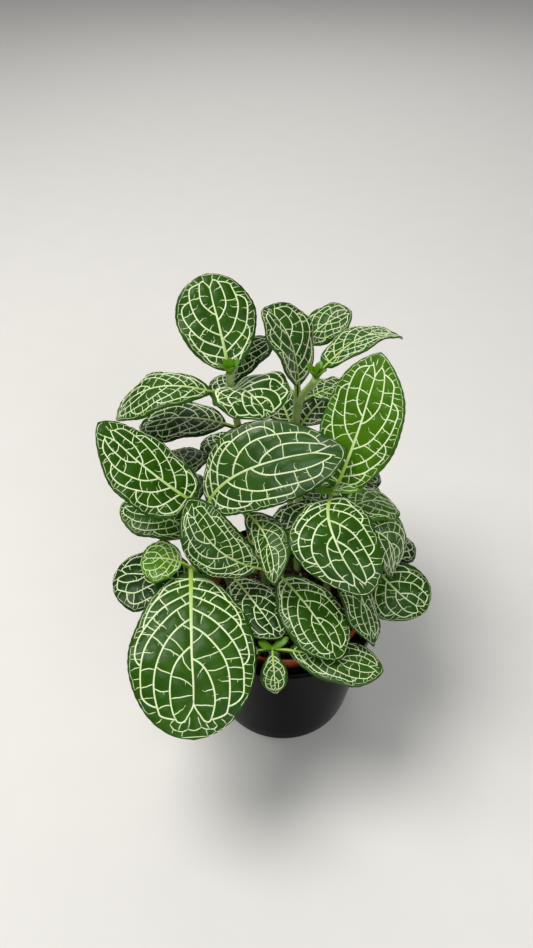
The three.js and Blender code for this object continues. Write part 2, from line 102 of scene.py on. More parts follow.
# ---------- The shoots, as in the part's source ----------
SHOOTS = dict(
    back_left=shoot(
        [(-14, 22, 62), (-22, 46, 118), (-25, 59, 155), (-28, 56, 178), (-28, 51, 189), (-28, 48, 200)],
        leaf_at(5, 109, 44, 51, 40, arch=3, roll=-4, fold=0.05, curl=0.12, stalk=0.03, point=0.2, tone=0.3),
        leaf_at(
            4, -44, -10, 27, 49, arch=5, roll=-9, fold=0.35, stalk=0.02, widest=0.51, tone=0.2, gloss=0.3,
        ),
        leaf_at(3, 180, -12, 63, 32, arch=16, roll=-4, curl=0.3, stalk=0.12, bow=0.6, point=0.55, tone=0.25),
        leaf_at(3, 38, 44, 38, 21, sway=6, stalk=0.2),
        leaf_at(2, 172, -5, 56, 34, arch=7, fold=0.1, curl=0.2, stalk=0.12, point=0.5),
        leaf_at(2, 100, 8, 43, 26, arch=6),
        leaf_at(1, 112, 6, 50, 30, arch=8),
        leaf_at(1, 66, -14, 48, 30, arch=8),
        young=rosette(20),
    ),
    back_right=shoot(
        [(8, 18, 62), (8, 44, 120), (7, 60, 170), (15, 51, 195)],
        leaf_at(
            3, 28, 8, 52, 26, arch=12, sway=-3, roll=-13, fold=0.2, curl=0.14, stalk=0.1, bow=0.57,
            widest=0.4, point=0.8, tone=0.2,
        ),
        leaf_at(
            2, 132, 61, 55, 38, sway=-6, roll=16, fold=0.36, curl=0.2, stalk=0.15, bow=0.64, point=0.1,
            tone=0.2, gloss=0.35,
        ),
        leaf_at(2, 22, 12, 30, 22, arch=3, stalk=0.3, tone=0.2),
        leaf_at(1, 27, 9, 50, 34, arch=8),
        young=rosette(-30),
    ),
    back_middle=shoot(
        [(2, 36, 62), (3, 39, 95), (6, 70, 140), (8, 92, 184)],
        leaf_at(3, 13, 35, 35, 27, arch=3, sway=1, roll=9, fold=0.25, stalk=0.12, tone=0.25),
        leaf_at(3, 100, -30, 40, 34, arch=8, tone=0.2),
        leaf_at(2, 47, 7, 47, 35, arch=9),
        leaf_at(2, 108, -5, 50, 34, arch=9),
        young=[(190, 50, 8, 5)],
    ),
    right=shoot(
        [(20, -4, 62), (26, 8, 118), (26, 10, 132), (24, 12, 152), (23, 8, 158)],
        leaf_at(
            3, 58, 57, 74, 41, sway=-3, fold=0.08, curl=0.15, stalk=0.05, widest=0.5, point=0.5, tone=0.45,
        ),
        leaf_at(
            3, -75, -18, 55, 43, arch=14, sway=-11, fold=0.05, curl=0.15, stalk=0.07, bow=0.42, widest=0.53,
            tone=0.2,
        ),
        leaf_at(2, 17, 0, 35, 30, arch=9, sway=2, roll=-6, tone=0.55),
        leaf_at(2, -21, -37, 41, 27, arch=13, sway=6, roll=17, fold=0.35, bow=0.55, tone=0.3, gloss=0.5),
        leaf_at(1, -69, -25, 56, 32, arch=5, sway=-2, roll=-40, fold=0.08, point=0.9, tone=0.2),
        leaf_at(1, 70, 0, 54, 34, arch=9),
        young=[(12, 4, 16, 9), (190, 12, 9, 6)],
    ),
    left=shoot(
        [(-22, 0, 62), (-33, 7, 100), (-40, 10, 120), (-40, 9, 143)],
        leaf_at(
            3, 6, 27, 78, 43, arch=13, sway=11, roll=50, fold=0.2, stalk=0.07, bow=0.3, widest=0.57,
            point=0.6, tone=0.3, gloss=0.4,
        ),
        leaf_at(
            3, 157, 34, 70, 41, arch=3, sway=5, roll=-4, fold=0, curl=0.15, stalk=0.12, widest=0.4, point=0.4,
            tone=0.35,
        ),
        leaf_at(2, 155, 4, 54, 31, arch=3, tone=0.15),
        leaf_at(1, -58, 4, 57, 31, arch=3, stalk=0.2),
    ),
    centre=shoot(
        [(-8, 8, 62), (-14, 14, 110), (-20, 8, 143)],
        leaf_at(
            2, -72, -5, 46, 20, arch=0, sway=5, roll=34, fold=-0.18, stalk=0.03, widest=0.48, point=0.6,
            tone=0.35,
        ),
        leaf_at(1, 20, 14, 44, 36, stalk=0.1, tone=0.0),
        young=[(60, 40, 7, 4)],
    ),
    front_middle=shoot(
        [(12, -6, 62), (10, -8, 92), (-7, -9, 119)],
        leaf_at(
            2, 163, 41, 58, 29, sway=9, roll=-51, fold=0.32, stalk=0.1, widest=0.55, point=0.4, tone=0.15,
        ),
        leaf_at(2, -52, -17, 57, 33, arch=6, stalk=0.12, point=0.5, tone=0.15),
        young=[(250, 50, 7, 4)],
    ),
    front_left=shoot(
        [(-30, -8, 62), (-42, -4, 96), (-49, -5, 115)],
        leaf_at(2, -86, -18, 86, 62, arch=10, fold=0.04, curl=0.15, stalk=0.04, point=0.05, tone=0.25),
        leaf_at(2, 178, 11, 26, 29, stalk=0.2, point=0.1, tone=0.75),
        leaf_at(1, 169, -1, 52, 44, arch=5),
    ),
    front_low=shoot(
        [(-4, -34, 62), (-6, -41, 90), (-7, -44, 99)],
        leaf_at(2, -84, -44, 22, 14, arch=2, stalk=0.1, point=0.7, tone=0.2),
        leaf_at(2, -9, -6, 56, 27, arch=3, stalk=0.15, point=0.4, tone=0.25, gloss=0.4),
        leaf_at(2, 189, -12, 39, 20, arch=3),
        young=[(25, 25, 10, 5), (165, 25, 8, 5)],
    ),
    right_low=shoot(
        [(30, 8, 62), (38, 12, 91), (46, 13, 103)],
        leaf_at(2, -44, -18, 42, 34, arch=9, sway=-4, roll=25, fold=0.05, tone=0.2),
        leaf_at(1, 35, 0, 42, 34, arch=8),
        young=[(130, 50, 8, 5)],
    ),
    far_left=shoot(
        [(-28, 20, 62), (-31, 24, 92), (-48, 36, 112), (-52, 44, 128)],
        leaf_at(3, 108, 0, 30, 30),
        leaf_at(2, 160, -5, 46, 34, arch=5),
        leaf_at(2, 115, -12, 52, 30),
    ),
    back_low=shoot(
        [(22, 26, 62), (26, 33, 92), (30, 42, 104)],
        leaf_at(2, 62, 6, 44, 30, arch=7, stalk=0.2),
        leaf_at(2, 112, -12, 48, 30, arch=5, stalk=0.2),
        young=[(10, 60, 8, 5)],
    ),
)


# ---------- Material helpers ----------
class Nodes:
    """A new material's node tree, with short calls to add and join nodes."""

    def __init__(self, name):
        self.material = bpy.data.materials.new(name)
        self.material.use_nodes = True
        self.tree = self.material.node_tree
        self.shader = self.tree.nodes["Principled BSDF"]
        self.place = self.add("ShaderNodeTexCoord").outputs["Object"]

    def add(self, kind, **values):
        node = self.tree.nodes.new(kind)
        for key, value in values.items():
            setattr(node, key, value)
        return node

    def link(self, source, target):
        self.tree.links.new(source, target)

    def set(self, **values):
        for key, value in values.items():
            self.shader.inputs[key.replace("_", " ")].default_value = value

    def noise(self, scale, detail, roughness=0.5):
        node = self.add("ShaderNodeTexNoise")
        for key, value in (("Scale", scale), ("Detail", detail), ("Roughness", roughness)):
            node.inputs[key].default_value = value
        self.link(self.place, node.inputs["Vector"])
        return node.outputs["Fac"]

    def attribute(self, name):
        return self.add("ShaderNodeAttribute", attribute_name=name).outputs["Fac"]

    def feed(self, socket, value):
        """Links value to the socket where it is a socket itself, or else sets it."""
        if isinstance(value, bpy.types.NodeSocket):
            self.link(value, socket)
        else:
            socket.default_value = value

    def drive(self, name, source):
        """Links source to an input of the shader."""
        self.link(source, self.shader.inputs[name])

    def ramp(self, factor, low, high, from_min=0.0, from_max=1.0):
        """A number between low and high as factor runs from from_min to from_max."""
        node = self.add("ShaderNodeMapRange")
        for key, value in (("From Min", from_min), ("From Max", from_max), ("To Min", low), ("To Max", high)):
            node.inputs[key].default_value = value
        self.link(factor, node.inputs["Value"])
        return node.outputs["Result"]

    def mix(self, factor, a, b):
        """A colour mix. factor, a and b are each a socket or a fixed value."""
        node = self.add("ShaderNodeMix", data_type="RGBA")
        for socket, value in ((node.inputs[0], factor), (node.inputs[6], a), (node.inputs[7], b)):
            self.feed(socket, value)
        return node.outputs[2]

    def math(self, operation, a, b):
        node = self.add("ShaderNodeMath", operation=operation)
        for socket, value in zip(node.inputs, (a, b)):
            self.feed(socket, value)
        return node.outputs[0]

    def bump(self, height, strength, distance):
        node = self.add("ShaderNodeBump")
        node.inputs["Strength"].default_value = strength
        node.inputs["Distance"].default_value = distance
        self.link(height, node.inputs["Height"])
        self.drive("Normal", node.outputs["Normal"])


def rgb(r, g, b):
    """A linear colour from sRGB values of 0 to 255."""
    return tuple(pow(v / 255, 2.2) for v in (r, g, b)) + (1.0,)


# ---------- Materials ----------
def blade_material(name, dark, light, under):
    m = Nodes(name)
    cloud = m.ramp(m.noise(70, 3), 0, 1, 0.35, 0.65)
    fine = m.ramp(m.noise(900, 2), 0, 1, 0.3, 0.7)
    upper = m.mix(cloud, dark, light)
    upper = m.mix(m.math("MULTIPLY", fine, 0.18), upper, light)
    upper = m.mix(m.attribute("near_vein"), upper, light)
    upper = m.mix(m.math("MULTIPLY", m.attribute("margin"), 0.45), upper, dark)
    colour = m.mix(m.attribute("under"), upper, under)
    m.drive("Base Color", colour)
    m.drive("Roughness", m.ramp(fine, 0.32, 0.44))
    m.drive("Specular IOR Level", m.attribute("gloss"))
    m.bump(m.noise(1500, 2), 0.35, 0.0003)
    return m.material


def vein_material(name, cream, green):
    m = Nodes(name)
    patchy = m.ramp(m.noise(500, 3), 0, 0.25, 0.35, 0.75)
    colour = m.mix(m.attribute("green"), cream, green)
    colour = m.mix(patchy, colour, green)
    m.drive("Base Color", colour)
    m.set(Roughness=0.5, Specular_IOR_Level=0.4)
    m.bump(m.noise(1200, 2), 0.2, 0.0002)
    return m.material


def stem_material():
    m = Nodes("stem_green")
    patchy = m.ramp(m.noise(160, 4), 0, 1, 0.3, 0.7)
    m.drive("Base Color", m.mix(patchy, rgb(124, 156, 66), rgb(168, 190, 104)))
    m.set(Roughness=0.5, Specular_IOR_Level=0.45)
    m.bump(m.noise(700, 3), 0.4, 0.0004)
    return m.material


def hair_material():
    m = Nodes("stem_hair")
    shade = m.noise(300, 1)
    m.drive("Base Color", m.mix(shade, rgb(205, 215, 190), rgb(238, 240, 228)))
    m.set(Roughness=0.6)
    return m.material


def glaze_material():
    m = Nodes("black_glaze")
    cloud = m.ramp(m.noise(28, 4), 0, 1, 0.35, 0.7)
    m.drive("Base Color", m.mix(cloud, rgb(4, 4, 9), rgb(10, 10, 16)))
    m.drive("Roughness", m.ramp(m.noise(120, 3), 0.14, 0.26))
    m.set(Specular_IOR_Level=0.03)
    m.bump(m.noise(260, 2), 0.12, 0.0003)
    return m.material


def terracotta_material():
    m = Nodes("terracotta_plastic")
    cloud = m.ramp(m.noise(60, 4), 0, 1, 0.35, 0.7)
    scuffs = m.ramp(m.noise(420, 5, 0.7), 0, 0.5, 0.55, 0.8)
    colour = m.mix(cloud, rgb(178, 82, 44), rgb(203, 100, 56))
    m.drive("Base Color", m.mix(scuffs, colour, rgb(216, 142, 104)))
    m.drive("Roughness", m.ramp(m.noise(200, 3), 0.42, 0.6))
    m.bump(m.noise(900, 3), 0.25, 0.0003)
    return m.material


def soil_material():
    m = Nodes("potting_soil")
    clods = m.ramp(m.noise(220, 6, 0.65), 0, 1, 0.35, 0.7)
    colour = m.mix(clods, rgb(30, 22, 17), rgb(74, 56, 42))
    fibre = m.ramp(m.noise(900, 3), 0, 0.6, 0.6, 0.8)
    m.drive("Base Color", m.mix(fibre, colour, rgb(116, 92, 68)))
    m.set(Roughness=0.95, Specular_IOR_Level=0.2)
    m.bump(m.noise(600, 5, 0.7), 0.8, 0.001)
    return m.material


def crumb_material():
    m = Nodes("soil_crumbs")
    clods = m.ramp(m.noise(150, 3), 0, 1, 0.4, 0.6)
    m.drive("Base Color", m.mix(clods, rgb(44, 32, 24), rgb(104, 80, 58)))
    m.set(Roughness=0.9)
    m.bump(m.noise(1500, 4), 0.6, 0.0005)
    return m.material


def perlite_material():
    m = Nodes("perlite")
    shade = m.noise(700, 3)
    m.drive("Base Color", m.mix(shade, rgb(196, 190, 178), rgb(232, 228, 218)))
    m.set(Roughness=0.9)
    return m.material


def tone_materials(step, steps):
    """The materials of a blade and its veins at one of the steps from the darkest green to lime."""
    share = step / (steps - 1)
    mixed = lambda dark, lime: rgb(*(p + (q - p) * share for p, q in zip(dark, lime)))
    blade = blade_material(
        f"leaf_blade_{step}",
        mixed((17, 43, 1), (80, 134, 4)),
        mixed((30, 64, 2), (104, 152, 18)),
        mixed((86, 118, 74), (128, 158, 84)),
    )
    veins = vein_material(f"leaf_veins_{step}", rgb(222, 235, 190), mixed((146, 178, 60), (170, 204, 60)))
    return blade, veins


STEM_GREEN = stem_material()
HAIR = hair_material()
TONES = [tone_materials(step, 5) for step in range(5)]


# ---------- Mesh helpers ----------
NO_QUADS = np.zeros((0, 4), int)


def mesh_object(name, parts):
    """One mesh object from parts.

    A part is (points in mm, quads, triangles, material, {attribute: values}).
    """
    points, loops, sizes, slots, materials = [], [], [], [], []
    attributes = {}
    first = 0
    for where, quads, triangles, material, values in parts:
        if material not in materials:
            materials.append(material)
        quads = np.asarray(quads, int).reshape(-1, 4) + first
        triangles = np.asarray(triangles, int).reshape(-1, 3) + first
        points.append(where)
        loops += [quads.ravel(), triangles.ravel()]
        sizes += [np.full(len(quads), 4), np.full(len(triangles), 3)]
        slots.append(np.full(len(quads) + len(triangles), materials.index(material)))
        for key, array in values.items():
            attributes.setdefault(key, []).append((first, np.asarray(array, float).ravel()))
        first += len(where)
    points, loops = np.concatenate(points), np.concatenate(loops)
    sizes, slots = np.concatenate(sizes), np.concatenate(slots)
    mesh = bpy.data.meshes.new(name)
    mesh.vertices.add(len(points))
    mesh.vertices.foreach_set("co", (points * MM).astype(np.float32).ravel())
    mesh.loops.add(len(loops))
    mesh.loops.foreach_set("vertex_index", loops.astype(np.int32))
    mesh.polygons.add(len(sizes))
    mesh.polygons.foreach_set("loop_start", np.concatenate([[0], np.cumsum(sizes)[:-1]]).astype(np.int32))
    mesh.polygons.foreach_set("loop_total", sizes.astype(np.int32))
    for material in materials:
        mesh.materials.append(material)
    mesh.polygons.foreach_set("material_index", slots.astype(np.int32))
    mesh.polygons.foreach_set("use_smooth", np.ones(len(sizes), bool))
    for key, chunks in attributes.items():
        whole = np.zeros(len(points), np.float32)
        for start, array in chunks:
            whole[start : start + len(array)] = array
        mesh.attributes.new(key, "FLOAT", "POINT").data.foreach_set("value", whole)
    mesh.update(calc_edges=True)
    mesh.validate()
    piece = bpy.data.objects.new(name, mesh)
    bpy.context.scene.collection.objects.link(piece)
    return piece


def ring_faces(rings, size):
    """Quads between rings of points, each ring of the given size, numbered one after another."""
    r, k = np.meshgrid(np.arange(rings - 1), np.arange(size), indexing="ij")
    a = r * size + k
    b = r * size + (k + 1) % size
    return np.stack([a, b, b + size, a + size], -1).reshape(-1, 4)


def unit(vectors):
    length = np.linalg.norm(vectors, axis=-1, keepdims=True)
    return vectors / np.maximum(length, 1e-9)


def around(count):
    """Evenly spaced angles round a circle."""
    return 2 * np.pi * np.arange(count) / count


def circles(side, front, count):
    """Unit circles of count points, one in the plane of each pair of directions."""
    angle = around(count)
    return side[:, None] * np.cos(angle)[None, :, None] + front[:, None] * np.sin(angle)[None, :, None]


def closed_rings(points, rings, size):
    """Quads between the rings, and fans that close both ends round the last two points."""
    k = np.arange(size)
    after = (k + 1) % size
    last = (rings - 1) * size
    low, high = len(points) - 2, len(points) - 1
    fans = [(np.full(size, low), after, k), (np.full(size, high), last + k, last + after)]
    return ring_faces(rings, size), np.concatenate([np.stack(fan, -1) for fan in fans])


def tube(path, radius, sides):
    """Points and faces of a closed tube along a path, with a radius for each of its points."""
    path = np.asarray(path, float)
    radius = np.broadcast_to(radius, (len(path),))
    along = unit(np.gradient(path, axis=0))
    helper = np.array([0.0, 1.0, 0.0]) if abs(along[:, 1]).max() < 0.9 else np.array([1.0, 0.0, 0.0])
    side = unit(np.cross(helper, along))
    front = np.cross(along, side)
    ring = circles(side, front, sides)
    points = (path[:, None] + ring * radius[:, None, None]).reshape(-1, 3)
    points = np.concatenate([points, path[:1], path[-1:]])
    return points, *closed_rings(points, len(path), sides)


# ---------- Leaves ----------
class Leaf:
    """The middle surface of a leaf, by the same formula as in the part's source."""

    def __init__(self, joint, heading, rise, length, width, row):
        self.row = row
        heading, rise, roll = (math.radians(a) for a in (heading, rise, self.row["roll"]))
        self.base = np.array(joint, float)
        chord = np.array(
            [math.cos(rise) * math.cos(heading), math.cos(rise) * math.sin(heading), math.sin(rise)]
        )
        level = np.array([-math.sin(heading), math.cos(heading), 0])
        self.across = level * math.cos(roll) + np.cross(chord, level) * math.sin(roll)
        above = np.cross(chord, self.across)
        self.tip = self.base + chord * length
        bow = chord * length * self.row["bow"]
        self.bend = self.base + bow + above * 2 * self.row["arch"] + self.across * 2 * self.row["sway"]
        self.width = width
        self.crowding = math.log(0.5) / math.log(self.row["widest"])
        seat = self.row["seat"] / (2 * np.linalg.norm(self.bend - self.base))
        self.start = (seat - self.row["stalk"]) / (1 - self.row["stalk"])
        self.blade_length = length * (1 - self.row["stalk"])

    def open(self, u):
        """The blade's half width at u, as a share of its greatest half width."""
        s = np.power(np.clip(u, 0, 1), self.crowding)
        return np.power(np.clip(4 * s * (1 - s), 0, None), 0.5 + 0.5 * self.row["point"] * u * u)

    def half_width(self, u):
        least = np.interp(u, [0, 0.3, 0.9, 1], [STALK_WIDTH / 2, STALK_WIDTH / 2, 0.6, 0.25])
        return np.maximum(self.width / 2 * self.open(u), least)

    def place(self, u, v):
        u, v = np.broadcast_arrays(np.asarray(u, float), np.asarray(v, float))
        t = np.clip(self.row["stalk"] + (1 - self.row["stalk"]) * u, 0, 1.05)[..., None]
        middle = (1 - t) ** 2 * self.base + 2 * t * (1 - t) * self.bend + t**2 * self.tip
        along = unit(2 * (1 - t) * (self.bend - self.base) + 2 * t * (self.tip - self.bend))
        up = unit(np.cross(along, self.across))
        spread = self.open(u)
        ripple = np.sin(2 * np.pi * 2.3 * u + np.where(v > 0, 2.1, 0)) * v * v * spread
        lift = self.width / 2 * spread * (self.row["fold"] * abs(v) - self.row["curl"] * v * v * spread)
        lift = lift + self.row["wave"] * self.width * ripple
        return middle + self.across * (v * self.half_width(u))[..., None] + up * lift[..., None]

    def normal(self, u, v):
        u, v = np.broadcast_arrays(np.asarray(u, float), np.asarray(v, float))
        ahead = self.place(u + 0.01, v) - self.place(u - 0.01, v)
        beside = self.place(u, np.clip(v + 0.02, -1, 1)) - self.place(u, np.clip(v - 0.02, -1, 1))
        return unit(np.cross(ahead, beside))

    def flat(self, points):
        """The blade's (u, v) points laid flat, in mm along and across the midrib."""
        u, v = points[..., 0], points[..., 1]
        return np.stack([u * self.blade_length, v * self.half_width(u)], -1)

    def thickness(self, u):
        """The thickness at u: the stalk's, which thins out into the blade's."""
        return STALK_THICKNESS + (BLADE - STALK_THICKNESS) * self.is_blade(u)

    def is_blade(self, u):
        return np.clip((u + 0.02) / 0.1, 0, 1)

    def keel(self, u, v):
        """How far the midrib stands out under the blade, in mm."""
        height = np.interp(u, [0, 0.1, 0.8, 1], [0, 0.7, 0.3, 0])
        return np.exp(-((v * self.half_width(u) / 1.1) ** 2)) * height


def bezier(controls, steps):
    """Points along the cubic curve of four control points."""
    t = np.linspace(0, 1, steps)[:, None]
    a, b, c, d = (np.asarray(point, float) for point in controls)
    return (1 - t) ** 3 * a + 3 * t * (1 - t) ** 2 * b + 3 * t**2 * (1 - t) * c + t**3 * d


class VeinNet:
    """A leaf's veins as rows (points in (u, v), width at each point, rank).

    Rank 0 is the midrib, 1 a side vein, 2 a rung between side veins and 3 the finest. The methods work on one
    half of the flat blade at a time, on points in mm along the midrib and out from it.
    """

    def __init__(self, leaf, rng):
        self.leaf, self.rng, self.length = leaf, rng, leaf.blade_length
        self.scale = float(np.clip(leaf.width / FULL_WIDTH, 0.5, 1.1))
        self.cell = CELL * max(self.scale, 0.65)
        self.reach = self.find_reach()
        self.veins, self.arcs = [], []
        fork, neck = self.midrib()
        # Up to the shoulder the small cells stand along the margin, and beyond it on rays round the tip.
        shoulder = 0.78 * self.reach * self.length
        tips, crests = [], []
        for side in (1, -1):
            self.side = side
            self.arcs = self.side_veins()
            leaving, curves = self.fork_branch(fork, neck)
            curves += self.close_side_veins()
            if leaf.width < WIDE:
                continue
            self.rungs()
            corners = self.margin_cells(shoulder)
            tip_corners, tip_crests = self.tip_cells(shoulder, leaving, curves)
            corners += tip_corners
            tips.append(corners[-1] * (1, side))
            crests += [crest * (1, side) for crest in tip_crests[-1:]]
            self.margin_loops(corners)
            self.spurs()
        self.side = 1
        self.bridge(tips, 0.9, 0.36)
        self.bridge(crests, 0.35, 0.5)

    def add(self, line, start, end, rank):
        """A vein along flat points, with its width at both ends."""
        line = np.array(line, float) * (1, self.side)
        u = np.clip(line[:, 0] / self.length, 0.0, NET_TIP)
        v = np.clip(line[:, 1] / self.leaf.half_width(u), -0.965, 0.965)
        self.veins.append((np.stack([u, v], -1), np.linspace(start, end, len(u)) * self.scale, rank))

    def add_bent(self, foot, end, way, widths, rank=2):
        """A vein of two straight bits, whose middle is pushed aside by way."""
        self.add([foot, (foot + end) / 2 + way, end], *widths, rank)

    def about(self, most):
        """A random number at most so far from 0."""
        return self.rng.uniform(-most, most)

    def half(self, x):
        """The blade's half width at x."""
        return float(self.leaf.half_width(x / self.length))

    def find_reach(self):
        """How far the larger veins reach, against a leaf with a round tip: less where it is pointed."""
        u = np.linspace(0.5, 0.95, 91)
        half = self.leaf.half_width(u)
        return min(1.0, float(u[half > 0.56 * half.max()][-1]) / 0.9)

    def midrib(self):
        """Adds the midrib, which wavers a little. Returns where it forks, as a share and as a flat point."""
        fork = self.rng.uniform(0.81, 0.85) * self.reach
        u = np.linspace(self.leaf.start, fork, 34)
        drift = self.about(0.03)
        waver = 0.02 * np.sin(u * 17 + self.rng.uniform(0, 6)) * np.clip(u - 0.35, 0, 1) + drift * u**3
        width = np.interp(u, [self.leaf.start, 0.0, 0.05, 0.3, 0.55, 0.8, 1], MIDRIB_WIDTHS)
        points = np.stack([u, waver], -1)
        self.veins.append((points, width * self.scale, 0))
        return fork, self.leaf.flat(points[-1])

    def side_veins(self):
        """The side veins, from the base's to the tip's.

        Each leaves the midrib steeply and bends until it runs along the margin.
        """
        rng, leaf, length = self.rng, self.leaf, self.length
        count = next(number for least, number in ARC_COUNTS if leaf.width >= least)
        rim = ARC_RIM * min(1.0, leaf.width / FULL_WIDTH) ** 0.7
        sixths = np.linspace(0, 1, len(ARC_STARTS))
        arcs = []
        for share in (k / (count - 1) for k in range(count)):
            start = float(np.interp(share, sixths, ARC_STARTS)) + 0.022 * self.side * (0.3 + share)
            start += self.about(0.01)
            end = float(np.interp(share, sixths, ARC_ENDS)) + 0.01 * self.side + self.about(0.015)
            end *= self.reach
            half = float(leaf.half_width(end))
            turn_in = 1 - 0.5 * np.clip((share - 0.6) / 0.4, 0, 1) ** 1.7
            foot = np.array([max(start, 0.02) * length, 0.0])
            top = np.array([end * length, max(half - rim, 0.5 * half) * turn_in])
            slope = float(leaf.half_width(end + 0.01) - leaf.half_width(end - 0.01)) / (0.02 * length)
            course = 0.5 * math.atan(slope) + math.radians(10 * (1 - share))
            along = np.array([math.cos(course), math.sin(course)])
            leave = math.radians(66 - 4 * share + self.about(5))
            reach = np.linalg.norm(top - foot)
            out = foot + 0.27 * reach * np.array([math.cos(leave), math.sin(leave)])
            line = bezier([foot, out, top - 0.5 * reach * along, top], 26)
            wobble = 0.2 * np.sin(np.linspace(0, rng.uniform(9, 14), 26) + rng.uniform(0, 6))
            line[1:-1, 1] += wobble[1:-1] * np.clip(line[1:-1, 1] / 4, 0, 1)
            arcs.append(line)
        return arcs

    def inner(self, k, x):
        """How far out the next vein in from side vein k, or the midrib, lies at x."""
        if k + 1 >= len(self.arcs) or x < self.arcs[k + 1][0, 0]:
            return 0.0
        return float(np.interp(x, *self.arcs[k + 1].T))

    def fork_branch(self, fork, neck):
        """Adds the midrib's branch and the vein that closes it on the innermost side vein.

        Returns where the second leaves the first, and both.
        """
        length = self.length
        neck = neck * (1, self.side)
        tine = neck + (0.07 * length, 0.17 * float(self.leaf.half_width(fork + 0.07)))
        branch = bezier([neck, neck + (0.03 * length, 0.0), tine, tine + (0.03 * length, 0.012 * length)], 8)
        self.add(branch, 0.85, 0.6, 1)
        top, leaving = self.arcs[-1][-1], branch[5]
        pull = 0.55 * float(np.linalg.norm(top - leaving))
        ahead = unit(top - self.arcs[-1][-4])
        closing = bezier([leaving, leaving + (0.8 * pull, 0.3 * pull), top + ahead * pull, top], 9)
        self.add(closing, 0.75, 0.7, 1)
        return leaving, [closing, branch]

    def close_side_veins(self):
        """Adds and returns the side veins, each closed on the next one in by a rounded loop."""
        curves = []
        for k, arc in enumerate(self.arcs):
            if k + 1 < len(self.arcs):
                top = arc[-1]
                x = min(top[0] + 0.075 * self.length, self.arcs[k + 1][-1, 0])
                y = self.inner(k, x)
                gap = max(top[1] - y, 0.5)
                ahead = unit(top - arc[-4]) * 0.55 * (x - top[0])
                loop = bezier([top, top + ahead, (x, y + 0.4 * gap), (x + 0.3, y)], 7)
                arc = np.concatenate([arc, loop[1:]])
            self.add(arc, 1.0, 0.75, 1)
            curves.append(arc)
        return curves

    def rungs(self):
        """Adds the rungs that run from each side vein to the next one in."""
        for k, arc in enumerate(self.arcs):
            run = np.concatenate([[0], np.cumsum(np.linalg.norm(np.diff(arc, axis=0), axis=1))])
            at = RUNG * self.scale * self.rng.uniform(0.7, 1.1)
            while at < run[-1] - LEAST_REACH:
                here, ahead = (
                    np.array([np.interp(place, run, column) for column in arc.T]) for place in (at, at + 0.5)
                )
                outward = here[1] / self.half(here[0])
                tangent = unit(ahead - here)
                turn = self.about(0.32)
                way = np.array([tangent[1], -tangent[0]]) * math.cos(turn) + tangent * math.sin(turn)
                room = self.room(k, here, way)
                if room > 1.3 and here[1] > 1.6:
                    self.rung(here, way, tangent, room, outward)
                at += RUNG * self.scale * (1.35 - 0.45 * outward) * self.rng.uniform(0.65, 1.35)

    def room(self, k, here, way):
        """How far a rung can run from side vein k before it meets another vein or the tip."""
        reach = 0.0
        while reach < 0.45 * self.leaf.width:
            reach += 0.3
            x, y = here + way * reach
            if x > 0.97 * self.length or y <= self.inner(k, x):
                break
        return reach

    def rung(self, here, way, tangent, room, outward):
        """Adds a rung. Where it is long and near the midrib it may stop short and branch."""
        rng = self.rng
        whole = rng.random() < (0.96 if outward > 0.6 or room < 5 else 0.42)
        share = 1.0 if whole else rng.uniform(0.35, 0.6)
        end = here + way * room * share
        beside = np.array([-way[1], way[0]])
        s = np.linspace(0, 1, 6)[:, None]
        bow = beside * self.about(0.13) * room * share**2
        kink = rng.uniform(-0.22, 0.22, (6, 1)) * beside * s * (1 - s) * 4
        line = here + (end - here) * s + bow * 4 * s * (1 - s) + kink
        self.add(line, 0.6, 0.56 if whole else 0.36, 2)
        if not whole:
            lean = rng.choice([-1, 1]) * tangent * rng.uniform(0.4, 1.2)
            self.add_bent(end, end + (way + lean) * rng.uniform(0.7, 1.6), 0, (0.4, 0.22), 3)
        elif rng.random() < 0.5 and room > 4:
            middle = line[rng.integers(2, 4)]
            twig = (tangent * rng.choice([-1, 1]) + way * 0.4) * rng.uniform(1.2, 2.2)
            self.add_bent(middle, middle + twig, 0, (0.36, 0.22), 3)

    def margin_cells(self, shoulder):
        """Adds the sides of the small cells along the margin, up to shoulder. Returns their corners."""
        rng, corners = self.rng, []
        x = 0.05 * self.length
        while x < shoulder:
            outer = max((float(np.interp(x, *a.T)) for a in self.arcs if a[0, 0] < x < a[-1, 0]), default=0.0)
            edge = self.half(x) - RIM * rng.uniform(0.6, 1.4)
            lean = rng.uniform(-0.5, 1.5)
            if edge - outer < LEAST_REACH:
                corners.append(np.array([x, max(min(outer, edge), 0.3)]))
            else:
                corners.append(np.array([x + lean, edge]))
                middle = (x + lean * rng.uniform(0, 0.8), (outer + edge) / 2)
                self.add([(x, outer), middle, (x + lean, edge)], 0.5, 0.34, 2 if edge - outer > 2.5 else 3)
            x += self.cell * rng.uniform(0.65, 1.45)
        return corners

